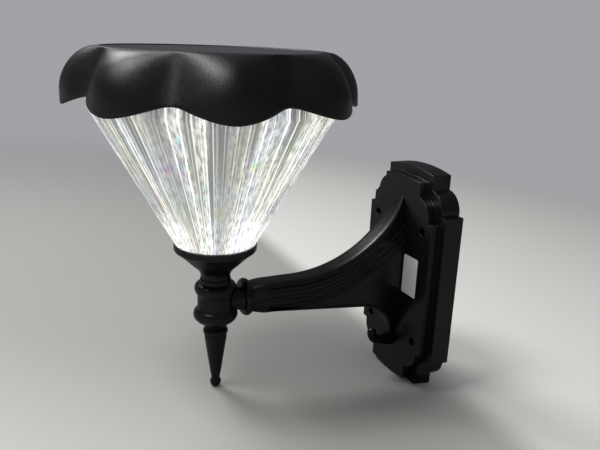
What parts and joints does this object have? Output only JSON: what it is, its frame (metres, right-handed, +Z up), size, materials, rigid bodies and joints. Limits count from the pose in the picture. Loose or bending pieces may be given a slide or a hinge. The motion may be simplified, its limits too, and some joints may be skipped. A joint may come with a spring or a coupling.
{
  "type": "solar wall light",
  "caption": "Black wall-mounted solar light: petal-shaped cap with a solar panel over a clear ribbed cone lens, on a turned stem and a fluted arm with a stepped wall plate.",
  "frame": {"origin": "middle of the four wall-screw holes, on the plane of the wall", "axes": "+Z up, +Y into the wall, +X to the right seen from the room; the light stands out along -Y"},
  "size_m": [0.1498, 0.2135, 0.2096],
  "materials": {
    "black_gloss": "satin-gloss black moulding",
    "black_satin": "fine-textured satin black",
    "clear_lens": "clear, ribbed",
    "panel_glass": "flat, glossy",
    "dark_cells": "dark blue-black with fine lines",
    "white_board": "white solder mask",
    "green_board": "green solder mask",
    "grey_tray": "light grey moulding",
    "led_phosphor": "yellow phosphor",
    "bright_reflector": "bright, faceted",
    "zinc_steel": "zinc-plated",
    "black_rubber": "soft black",
    "grey_sealant": "cured sealant",
    "battery_wrap": "shrink wrap",
    "black_holder": "black moulding",
    "red_button": "gloss moulding"
  },
  "bodies": {
    "bracket": {"wall_plate": "black_gloss", "bracket_arm": "black_gloss", "arm_screws": "zinc_steel", "arm_collar": "black_gloss", "arm_stud": "zinc_steel", "stem_hub": "black_gloss", "lens_cup": "black_gloss", "finial": "black_gloss", "tie_rod": "zinc_steel", "tie_washer": "zinc_steel", "tie_nut": "zinc_steel", "lens_gasket": "black_rubber"},
    "shade": {"lens_cone": "clear_lens", "base_reflector": "bright_reflector"},
    "cap": {"petal_cap": "black_satin", "panel_adhesive": "grey_sealant", "panel_board": "white_board", "panel_glass": "panel_glass", "solar_cells": "dark_cells", "light_tray": "grey_tray", "tray_gasket": "black_rubber", "mouth_seal": "black_rubber", "tray_screws": "zinc_steel", "led_board": "white_board", "leds": "led_phosphor", "board_screws": "zinc_steel", "battery": "battery_wrap", "battery_holder": "black_holder", "charge_board": "green_board", "board_standoffs": "grey_tray", "board_parts": "black_holder", "switch_housing": "black_holder"},
    "button": {"switch_button": "red_button"}
  },
  "joints": [
    {"name": "shade_turn", "type": "hinge", "parent": "bracket", "child": "shade", "pos_m": [0, -0.1386, 0.0322], "axis": [0, 0, 1], "range_deg": [0, 30]},
    {"name": "cap_lift", "type": "slide", "parent": "shade", "child": "cap", "axis": [0, 0, 1], "range_m": [0, 0.05]},
    {"name": "switch_press", "type": "slide", "parent": "cap", "child": "button", "axis": [0, 0, 1], "range_m": [0, 0.0018], "stiffness_N_per_m": 300, "springref_m": -0.003}
  ]
}
